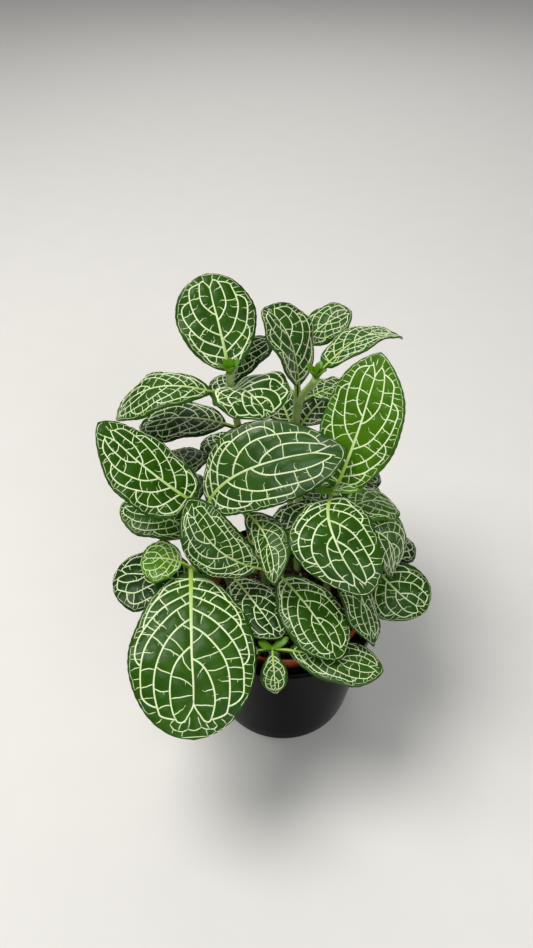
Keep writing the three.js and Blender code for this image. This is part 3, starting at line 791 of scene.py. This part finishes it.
    def tip_cells(self, shoulder, leaving, curves):
        """Adds the sides of the cells round the tip, on rays from the midrib at shoulder.

        Where there is room the cells stand in two rows, and arches between crests part them. Returns the
        corners along the margin, and the crests.
        """
        rng, hub = self.rng, np.array([shoulder, 0.0])
        spread = np.concatenate(curves) - hub
        bearing, radius = np.arctan2(spread[:, 1], spread[:, 0]), np.linalg.norm(spread, axis=1)
        shares = np.linspace(NET_TIP, 0.5, 90)
        rim = np.stack([shares * self.length, np.maximum(self.leaf.half_width(shares) - RIM, 0.1)], -1) - hub
        rim_bearing, rim_radius = np.arctan2(rim[:, 1], rim[:, 0]), np.linalg.norm(rim, axis=1)
        corners, crests = [], []
        angle = math.radians(84)
        while angle > math.radians(4):
            far = float(np.interp(angle, rim_bearing, rim_radius))
            least = float(np.linalg.norm(leaving - hub)) if angle < 0.3 else 0.0
            near = radius[abs(bearing - angle) < 0.14].max(initial=least)
            ray = np.array([math.cos(angle), math.sin(angle)])
            beside = np.array([-ray[1], ray[0]])
            corner = hub + ray * far + beside * self.about(0.6)
            foot = hub + ray * (near - 0.3)
            if near > 0 and far - near > 1.25 * self.cell:
                out = near + (far - near) * rng.uniform(0.4, 0.6)
                crest = hub + ray * out + beside * self.about(0.5)
                self.add_bent(foot, crest, beside * self.about(0.3), (0.6, 0.5))
                if crests:
                    arch = (crests[-1] + crest) / 2 + ray * rng.uniform(0.5, 1.1)
                    self.add(bezier([crests[-1], arch, arch, crest], 7), 0.52, 0.5, 2)
                    spur = arch - ray * 0.2
                    corner = spur + ray * max(far - float(np.linalg.norm(spur - hub)), 0.4)
                    self.add_bent(spur, corner, beside * self.about(0.2), (0.45, 0.34))
                crests.append(crest)
            elif near > 0 and far - near > LEAST_REACH:
                self.add_bent(foot, corner, beside * self.about(0.4), (0.56, 0.36))
            corners.append(corner)
            angle -= self.cell * rng.uniform(0.95, 1.5) / max(far, 3)
        return corners, crests

    def margin_loops(self, corners):
        """Joins most of the corners along the margin."""
        for a, b in zip(corners, corners[1:]):
            outwards = unit((a + b) / 2 - (0.5 * self.length, 0))
            if self.rng.random() < 0.86 and np.linalg.norm(b - a) < 2.2 * self.cell:
                self.add_bent(a, b, self.rng.uniform(-0.1, 0.6) * outwards, (0.34, 0.34), 3)

    def spurs(self):
        """Adds short free spurs on the side veins."""
        rng = self.rng
        for _ in range(int(20 * self.scale)):
            arc = self.arcs[rng.integers(len(self.arcs))]
            i = rng.integers(3, len(arc) - 2)
            tangent = unit(arc[i + 1] - arc[i])
            way = np.array([tangent[1], -tangent[0]]) * rng.choice([-1, 1]) + tangent * rng.uniform(-0.4, 0.6)
            line = arc[i] + way * rng.uniform(1.0, 2.2) * np.array([0, 0.5, 1])[:, None]
            if 1 < line[-1, 1] < 0.93 * self.half(line[-1, 0]):
                self.add(line, 0.36, 0.2, 3)

    def bridge(self, pair, bulge, width):
        """Joins a point of each half round the tip."""
        if len(pair) == 2:
            arch = (pair[0] + pair[1]) / 2
            arch = arch + (bulge * max(NET_TIP * self.length - arch[0], 0.0), 0.0)
            self.add(bezier([pair[0], arch, arch, pair[1]], 7), width, width, 2)


class Relief:
    """How a blade swells between its veins."""

    def __init__(self, leaf, veins):
        self.leaf = leaf
        lines = [leaf.flat(points) for points, _, rank in veins if rank <= 2]
        self.starts = np.concatenate([line[:-1] for line in lines])
        self.spans = np.concatenate([line[1:] - line[:-1] for line in lines])
        self.squares = np.maximum((self.spans**2).sum(-1), 1e-9)

    def from_veins(self, points):
        """The distance of (u, v) points from the nearest vein, in mm."""
        places = self.leaf.flat(points).reshape(-1, 2)
        near = np.empty(len(places))
        for chunk in range(0, len(places), 2000):
            offset = places[chunk : chunk + 2000, None] - self.starts
            t = np.clip((offset * self.spans).sum(-1) / self.squares, 0, 1)
            near[chunk : chunk + 2000] = np.sqrt(((offset - t[..., None] * self.spans) ** 2).sum(-1).min(1))
        return near.reshape(points.shape[:-1])

    def swell(self, near, u, v):
        """How far the blade stands up at a distance from the veins, in mm."""
        on_blade = np.clip(u / 0.06, 0, 1) * (1 - abs(v) ** 8)
        rise = 1 - np.exp(-((np.clip(near - 0.35, 0, None) / 1.4) ** 2))
        return QUILT * min(1.0, self.leaf.width / 30) * rise * on_blade


def end_caps(rings, across, half):
    """Quads and triangles that close both ends of a blade whose rings run round it from edge to edge."""
    k = np.arange(2 * half)
    opposite = lambda i: (across - i) % across
    cap = np.stack([k, opposite(k), opposite(k + 1), k + 1], -1)
    faces = np.concatenate([cap, (cap + (rings - 1) * across)[:, ::-1]])
    corners = [list(dict.fromkeys(face)) for face in faces.tolist()]
    by_size = lambda size: np.array([face for face in corners if len(face) == size], int).reshape(-1, size)
    return by_size(4), by_size(3)


def blade_part(leaf, rng, relief, material):
    """The closed blade with its stalk, swollen between the veins and scalloped along its margin."""
    step = 1.1 if leaf.width > WIDE else 0.7
    stations = max(int(leaf.blade_length / step), 12)
    half = max(int(leaf.width / step / 2), 5)
    share = np.linspace(0, 1, stations + 1)
    ease = 0.35 * (1 - np.cos(np.pi * share)) / 2 + 0.65 * share
    across = np.linspace(1, -1, 2 * half + 1)
    u, v = np.meshgrid(
        np.concatenate([np.linspace(leaf.start, 0, 5)[:-1], ease]),
        np.sin(across * np.pi / 2) * 0.35 + across * 0.65,
        indexing="ij",
    )
    near = relief.from_veins(np.stack([u, v], -1))
    swelling = relief.swell(near, u, v)
    on_blade = np.clip(u / 0.06, 0, 1)

    waves = np.sin(2 * np.pi * u * leaf.blade_length / SCALLOP_STEP + rng.uniform(0, 6))
    scallop = np.sign(v) * abs(v) ** 12 * (SCALLOP * waves * on_blade) * (leaf.width > WIDE)
    middle = leaf.place(u, v) + leaf.across * scallop[..., None]
    normal = leaf.normal(u, v)
    rounding = np.sqrt(np.clip(1 - abs(v) ** (2 + 10 * leaf.is_blade(u)), 0, 1))
    offset = leaf.thickness(u) * rounding / 2
    upper = middle + normal * (offset + swelling)[..., None]
    lower = middle - normal * (offset - swelling + leaf.keel(u, v) * (leaf.width > WIDE))[..., None]

    both_faces = lambda upper, lower: np.concatenate([upper, lower[:, -2:0:-1]], axis=1)
    ring = both_faces(upper, lower)
    cap_quads, cap_triangles = end_caps(*ring.shape[:2], half)
    quads = np.concatenate([ring_faces(*ring.shape[:2]), cap_quads])
    halo = np.exp(-((near / 0.8) ** 2)) * 0.3
    margin = abs(v) ** 4 * on_blade
    inside = np.clip((1 - abs(v)) * leaf.half_width(u) / 1.2, 0, 1)
    values = dict(
        near_vein=both_faces(halo, halo),
        margin=both_faces(margin, margin),
        under=both_faces(np.zeros_like(u), inside),
        gloss=np.full(ring.shape[:2], leaf.row["gloss"]),
    )
    return ring.reshape(-1, 3), quads[:, ::-1], cap_triangles[:, ::-1], material, values


def vein_ridge(leaf, vein, material, raised, face):
    """A closed low ridge along a vein, on the upper face (1) or under the blade (-1)."""
    points, width, rank = vein
    share = np.linspace(0, 1, len(points))
    u, v = points[:, 0], points[:, 1]
    lift = leaf.thickness(u) / 2 + raised
    if face < 0:
        width = width * 0.75
        lift = lift + leaf.keel(u, v)
    normal = leaf.normal(u, v) * face
    centre = leaf.place(u, v) + normal * lift[:, None]
    side = unit(np.cross(normal, unit(np.gradient(centre, axis=0))))
    taper = np.clip(np.minimum(share, 1 - share) * 12 + 0.5, 0, 1) if rank >= 2 else 1.0
    half = side * (width / 2 * taper)[:, None]
    crown = normal * VEIN_HEIGHTS[rank]
    foot = normal * 0.02
    ring = [
        centre + half - foot,
        centre + half * 0.6 + crown,
        centre - half * 0.6 + crown,
        centre - half - foot,
        centre - normal * 0.3,
    ]
    count, size = len(points), len(ring)
    fan = np.array([(0, 2, 1), (0, 3, 2), (0, 4, 3)])
    quads, triangles = ring_faces(count, size), np.concatenate([fan, fan[:, [0, 2, 1]] + size * (count - 1)])
    green = (
        np.interp(u, [-0.2, 0.1, 0.5, 0.8], [1, 0.9, 0.2, 0.05]),
        np.interp(share, [0, 0.2], [0.3, 0.02]),
        np.full(count, 0.1),
        np.full(count, 0.3),
    )[rank]
    if face < 0:
        green = np.clip(green + 0.5, 0, 1)
        quads, triangles = quads[:, ::-1], triangles[:, ::-1]
    values = dict(green=np.repeat(green, size))
    return np.stack(ring, axis=1).reshape(-1, 3), quads, triangles, material, values


def leaf_parts(leaf, rng):
    """The mesh parts of one leaf: its closed blade and the low ridges of its veins on both faces."""
    blade, ridges = TONES[int(round(leaf.row["tone"] * (len(TONES) - 1)))]
    veins = VeinNet(leaf, rng).veins
    relief = Relief(leaf, veins)
    parts = [blade_part(leaf, rng, relief, blade)]
    for vein in veins if leaf.width > 6 else []:
        points, _, rank = vein
        u, v = points[:, 0], points[:, 1]
        raised = relief.swell(relief.from_veins(points), u, v) if rank == 3 else np.zeros(len(u))
        parts.append(vein_ridge(leaf, vein, ridges, raised, 1))
        if rank <= 1 and leaf.width > WIDE:
            parts.append(vein_ridge(leaf, vein, ridges, raised, -1))
    return parts


# ---------- Stems ----------
def between(p, q, start, end, t):
    """The point at t on the line from p, which stands at start, to q, which stands at end."""
    return ((end - t) * p + (t - start) * q) / (end - start)


def stem_path(joints):
    """A smooth centripetal Catmull-Rom curve through the joints, as in the part's source."""
    joints = np.array(joints, float)
    padded = np.concatenate([[2 * joints[0] - joints[1]], joints, [2 * joints[-1] - joints[-2]]])
    path = []
    for i in range(1, len(padded) - 2):
        p = padded[i - 1 : i + 3]
        knots = np.concatenate([[0], np.cumsum(np.linalg.norm(np.diff(p, axis=0), axis=1) ** 0.5)])
        for t in np.linspace(knots[1], knots[2], STEM["steps"], endpoint=False):
            a = [between(p[j], p[j + 1], knots[j], knots[j + 1], t) for j in range(3)]
            b = [between(a[j], a[j + 1], knots[j], knots[j + 2], t) for j in range(2)]
            path.append(between(b[0], b[1], knots[1], knots[2], t))
    path.append(joints[-1])
    return np.array(path)


def hairs(places, ways, lengths, rng):
    """Fine tapered hairs: three-sided spikes that lean a little and sag."""
    count = len(places)
    lean = unit(ways + rng.normal(0, 0.35, (count, 3)))
    side = unit(np.cross(lean, rng.normal(0, 1, (count, 3))))
    foot = places[:, None] + HAIRS["radius"] * circles(side, np.cross(lean, side), 3)
    tip = places + lean * lengths[:, None] + np.array([0, 0, -HAIRS["sag"]]) * lengths[:, None]
    points = np.concatenate([foot, tip[:, None]], axis=1).reshape(-1, 3)
    first = 4 * np.arange(count)[:, None]
    faces = np.array([[0, 1, 3], [1, 2, 3], [2, 0, 3], [0, 2, 1]])
    return points, NO_QUADS, (first[:, None] + faces).reshape(-1, 3), HAIR, {}


def stem_parts(joints, rng):
    """A stem's closed tube, thicker at its knots, and the hairs on it above the soil."""
    path = stem_path(joints)
    share = np.linspace(0, 1, len(path))
    radius = STEM["root_radius"] + (STEM["tip_radius"] - STEM["root_radius"]) * share
    place = np.arange(len(path)) / STEM["steps"]
    joint = np.round(place)
    off_knot = abs(place - joint) * (joint > 0) + (joint == 0)
    radius = radius * (1 + (STEM["knot"] - 1) * np.exp(-((off_knot / 0.09) ** 2)))
    points, *faces = tube(path, radius, STEM["sides"])
    ring = points[:-2].reshape(len(path), STEM["sides"], 3)
    count = int(np.linalg.norm(np.diff(path, axis=0), axis=1).sum() * HAIRS["per_mm"])
    i = rng.integers(0, len(path) - 1, count)
    k = rng.integers(0, STEM["sides"], count)
    t = rng.random((count, 1))
    places = ring[i, k] * (1 - t) + ring[i + 1, k] * t
    keep = places[:, 2] > SOIL["top"] + HAIRS["above_soil"]
    ways = unit(places - (path[i] * (1 - t) + path[i + 1] * t))
    lengths = rng.uniform(HAIRS["shortest"], HAIRS["longest"], keep.sum())
    return [(points, *faces, STEM_GREEN, {}), hairs(places[keep], ways[keep], lengths, rng)]


def plain_piece(piece, node):
    """Puts a finished piece in the place of a node."""
    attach(piece, ROOT)
    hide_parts(node)


for number, (shoot, plant) in enumerate(SHOOTS.items()):
    joints = plant["joints"]
    rng = np.random.default_rng(100 + number)
    parts = stem_parts(joints, rng)
    for course in plant["young"]:
        parts += leaf_parts(Leaf(joints[-1], *course, YOUNG), rng)
    plain_piece(mesh_object(f"shoot_stem_{shoot}", parts), f"stem_{shoot}")
    for i, (joint, course) in enumerate(plant["leaves"]):
        parts = leaf_parts(Leaf(joints[joint], *course), np.random.default_rng(1000 + 37 * number + i))
        plain_piece(mesh_object(f"veined_leaf_{shoot}_{i + 1}", parts), f"leaf_{shoot}_{i + 1}")


# ---------- Pots and soil ----------
def lathe(profile, material):
    """A turned body from (radius, height) points that run outwards and up from the axis."""
    profile = np.array(profile, float)
    inner = profile[1:-1]
    angle = around(POT_SIDES)
    ring = np.stack([np.cos(angle), np.sin(angle)], -1)
    heights = np.repeat(inner[:, 1:], POT_SIDES, 1)[..., None]
    points = np.concatenate([ring[None] * inner[:, None, :1], heights], -1).reshape(-1, 3)
    points = np.concatenate([points, [(0, 0, profile[0, 1]), (0, 0, profile[-1, 1])]])
    return points, *closed_rings(points, len(inner), POT_SIDES), material, {}


def arc_points(centre, radius, start, end, steps):
    """Points of an arc from the angle start to the angle end, in degrees."""
    angle = np.radians(np.linspace(start, end, steps))
    return [(centre[0] + radius * math.cos(a), centre[1] + radius * math.sin(a)) for a in angle]


def cachepot_profile():
    """The cachepot's outline, up its outside, over its lip and down its inside."""
    c = CACHEPOT
    slope = (c["rim"] - c["foot"]) / c["height"]
    outside = lambda z: c["foot"] + slope * z
    edge = c["edge"]
    lip = c["wall"] / 2
    top = c["height"] - lip
    return [
        (0, 0),
        (c["foot"] - edge - 6, 0),
        (c["foot"] - edge, 0),
        *arc_points((outside(0) - edge, edge), edge, -80, 0, 7),
        *[(outside(z), z) for z in np.linspace(4, top - 1, 12)],
        *arc_points((outside(top) - lip, top), lip, 0, 180, 15),
        *[(outside(z) - c["wall"], z) for z in np.linspace(top - 1, c["floor"] + 3, 10)],
        *arc_points((outside(c["floor"]) - c["wall"] - 2, c["floor"] + 2), 2, 0, -90, 6),
        (10, c["floor"]),
        (0, c["floor"]),
    ]


cachepot = mesh_object("glazed_cachepot", [lathe(cachepot_profile(), glaze_material())])
plain_piece(cachepot, "cachepot")

POT_FLOOR = CACHEPOT["floor"] + 0.3  # the nursery pot stands just clear of the cachepot's floor
COLLAR_FOOT = NURSERY["top"] - NURSERY["collar"]
BODY_TOP = NURSERY["rim"] - 1.2 - NURSERY["step"]


def inside_radius(z):
    """The nursery pot's inner radius at a height below its collar."""
    share = (z - POT_FLOOR) / (COLLAR_FOOT - POT_FLOOR)
    return NURSERY["foot"] - NURSERY["wall"] + share * (BODY_TOP - NURSERY["foot"])


def nursery_profile():
    """The nursery pot's outline, up its outside, over its rim and down its inside."""
    n = NURSERY
    wall = n["wall"]
    band = BODY_TOP + n["step"]
    top = n["top"] - wall / 2
    return [
        (0, POT_FLOOR),
        (n["foot"] - 3, POT_FLOOR),
        *arc_points((n["foot"] - 0.8, POT_FLOOR + 0.8), 0.8, -90, -10, 4),
        *[(inside_radius(z) + wall, z) for z in np.linspace(POT_FLOOR + 2, COLLAR_FOOT - 0.5, 8)],
        (BODY_TOP + 0.4, COLLAR_FOOT),
        (band - 0.4, COLLAR_FOOT + 0.5),
        (band, COLLAR_FOOT + 1.2),
        (band + 0.5, top - 5),
        (n["rim"] - 0.15, top - 2.4),
        *arc_points((n["rim"] - wall / 2, top), wall / 2, 0, 180, 9),
        (n["rim"] - wall - 0.1, top - 2.4),
        (band - wall + 0.4, top - 5),
        (band - wall, COLLAR_FOOT + 1 + wall),
        (inside_radius(COLLAR_FOOT + wall), COLLAR_FOOT + wall),
        *[(inside_radius(z), z) for z in np.linspace(COLLAR_FOOT - 1, POT_FLOOR + wall + 1, 6)],
        (n["foot"] - wall - 2, POT_FLOOR + wall),
        (0, POT_FLOOR + wall),
    ]


def cut_holes(pot):
    """Cuts the drain holes through the pot's floor."""
    cutters = []
    for a in around(NURSERY["holes"]):
        x, y = NURSERY["hole_circle"] * math.cos(a), NURSERY["hole_circle"] * math.sin(a)
        path = [(x, y, POT_FLOOR - 3), (x, y, POT_FLOOR), (x, y, POT_FLOOR + 5)]
        cutters.append((*tube(path, NURSERY["hole_radius"], 24), pot.data.materials[0], {}))
    cutter = mesh_object("hole_cutter", cutters)
    cut = pot.modifiers.new("holes", "BOOLEAN")
    cut.object, cut.solver = cutter, "EXACT"
    with bpy.context.temp_override(object=pot, active_object=pot, selected_objects=[pot]):
        bpy.ops.object.modifier_apply(modifier=cut.name)
    bpy.data.objects.remove(cutter)


nursery = mesh_object("terracotta_nursery_pot", [lathe(nursery_profile(), terracotta_material())])
cut_holes(nursery)
plain_piece(nursery, "nursery_pot")


def soil_top(x, y):
    """The height of the soil's lumpy top."""
    share = min(math.hypot(x, y) / inside_radius(SOIL["top"]), 1)
    lumps = noise.fractal((x * 0.09, y * 0.09, 0.3), 1.0, 2.1, 5)
    grit = noise.noise((x * 0.8, y * 0.8, 4.0))
    return SOIL["top"] + SOIL["crown"] * (1 - share * share) + 1.1 * lumps + 0.3 * grit


def soil_body(radius):
    """The closed body of the soil, with a lumpy top that reaches out to the radius."""
    angle = around(SOIL["sides"])
    bottom = POT_FLOOR + NURSERY["wall"] + 0.3
    points = []
    for z in (bottom, SOIL["top"] - 3):
        r = inside_radius(z) - 0.3
        points += [(r * math.cos(a), r * math.sin(a), z) for a in angle]
    for ring in range(SOIL["rings"]):
        r = radius * (1 - ring / SOIL["rings"])
        for a in angle:
            x, y = r * math.cos(a), r * math.sin(a)
            points.append((x, y, soil_top(x, y)))
    points = np.array(points + [(0, 0, bottom), (0, 0, soil_top(0, 0))])
    return points, *closed_rings(points, SOIL["rings"] + 2, SOIL["sides"]), soil_material(), {}


def icosahedron():
    """The corners of a regular icosahedron, at 1 from its middle, and its outward triangles."""
    golden = (1 + 5**0.5) / 2
    corners = unit(np.array([(s, t * golden, 0) for s in (-1, 1) for t in (-1, 1)]))
    corners = np.concatenate([corners, corners[:, [2, 0, 1]], corners[:, [1, 2, 0]]])
    faces = []
    for i, j, k in np.ndindex(12, 12, 12):
        if i < min(j, k) and j != k:
            normal = np.cross(corners[j] - corners[i], corners[k] - corners[i])
            if np.linalg.norm(normal) > 1e-6 and ((corners - corners[i]) @ normal < 1e-6).all():
                faces.append((i, j, k))
    return corners, np.array(faces)


def crumb(corners, reach, rng):
    """A crumb's points: the corners, stretched and turned at random, on the soil within reach of the axis."""
    r = reach * math.sqrt(rng.random())
    a = rng.uniform(0, 2 * math.pi)
    x, y = r * math.cos(a), r * math.sin(a)
    size = rng.uniform(0.5, 1.5)
    stretch = rng.uniform(0.6, 1.3, 3)
    spin = np.linalg.qr(rng.normal(size=(3, 3)))[0]
    if np.linalg.det(spin) < 0:
        spin[:, 0] *= -1
    shape = (corners * rng.uniform(0.8, 1.15, (len(corners), 1)) * size * stretch) @ spin
    return shape + (x, y, soil_top(x, y) + 0.25 * size)


def soil_parts(rng):
    """The soil's body and the crumbs that lie on it. Every fourteenth is perlite."""
    radius = inside_radius(SOIL["top"]) - 0.15
    parts = [soil_body(radius)]
    crumbs, perlite = crumb_material(), perlite_material()
    corners, faces = icosahedron()
    for i in range(SOIL["crumbs"]):
        material = perlite if i % 14 == 0 else crumbs
        parts.append((crumb(corners, radius - 1.5, rng), NO_QUADS, faces, material, {}))
    return parts


plain_piece(mesh_object("potting_soil", soil_parts(np.random.default_rng(7))), "soil")

# ---------- Floor, light and camera ----------
floor_mesh = bpy.data.meshes.new("studio_floor")
floor_mesh.from_pydata([(-5, -4, 0), (5, -4, 0), (5, 9, 0), (-5, 9, 0)], [], [(0, 1, 2, 3)])
floor = bpy.data.objects.new("studio_floor", floor_mesh)
bpy.context.scene.collection.objects.link(floor)
paper = Nodes("pale_floor")
cloud = paper.noise(30, 2)
paper.drive("Base Color", paper.mix(cloud, rgb(214, 212, 207), rgb(218, 216, 211)))
paper.set(Roughness=0.9)
floor_mesh.materials.append(paper.material)

world = bpy.data.worlds.new("studio")
world.use_nodes = True
world.node_tree.nodes["Background"].inputs["Color"].default_value = (0.93, 0.95, 1.0, 1)
world.node_tree.nodes["Background"].inputs["Strength"].default_value = 0.24
bpy.context.scene.world = world
bpy.context.scene.view_settings.view_transform = "Standard"


def area_light(name, place, aim, size, power, colour):
    """A square or oblong lamp at place, turned towards aim. Both are in metres."""
    data = bpy.data.lights.new(name, "AREA")
    data.shape, data.size, data.size_y = "RECTANGLE", size[0], size[1]
    data.energy, data.color = power, colour
    light = bpy.data.objects.new(name, data)
    bpy.context.scene.collection.objects.link(light)
    light.location = place
    toward = np.array(aim, float) - np.array(place, float)
    light.rotation_euler = (
        math.atan2(math.hypot(toward[0], toward[1]), -toward[2]),
        0,
        math.atan2(toward[1], toward[0]) - math.pi / 2,
    )


PLANT, POT = (0, 0, 0.12), (0, 0, 0.1)  # what the lamps are turned towards
area_light("key", (-0.5, 0.1, 1.3), PLANT, size=(0.7, 0.7), power=17, colour=(1.0, 0.98, 0.95))
area_light("back_panel", (0.1, 1.3, 0.9), PLANT, size=(0.9, 0.6), power=3.5, colour=(1.0, 0.99, 0.97))
area_light("front_fill", (0.5, -1.1, 0.8), POT, size=(0.9, 0.9), power=8, colour=(0.96, 0.98, 1.0))

# The photo's camera, as fitted to the nursery pot's rim: its focal length and the photo's height in pixels,
# its place in metres, and how far below level it looks, in degrees.
FOCAL_PX, FRAME_HEIGHT_PX = 780, 948
CAMERA_PLACE, CAMERA_DOWN = (-0.0098, -0.2653, 0.4296), 43.54
camera_data = bpy.data.cameras.new("camera")
camera_data.sensor_fit = "VERTICAL"
camera_data.sensor_height = 36
camera_data.lens = camera_data.sensor_height * FOCAL_PX / FRAME_HEIGHT_PX
camera_data.clip_start = 0.01
camera = bpy.data.objects.new("camera", camera_data)
bpy.context.scene.collection.objects.link(camera)
camera.location = CAMERA_PLACE
camera.rotation_euler = (math.radians(90 - CAMERA_DOWN), 0, 0)
bpy.context.scene.camera = camera
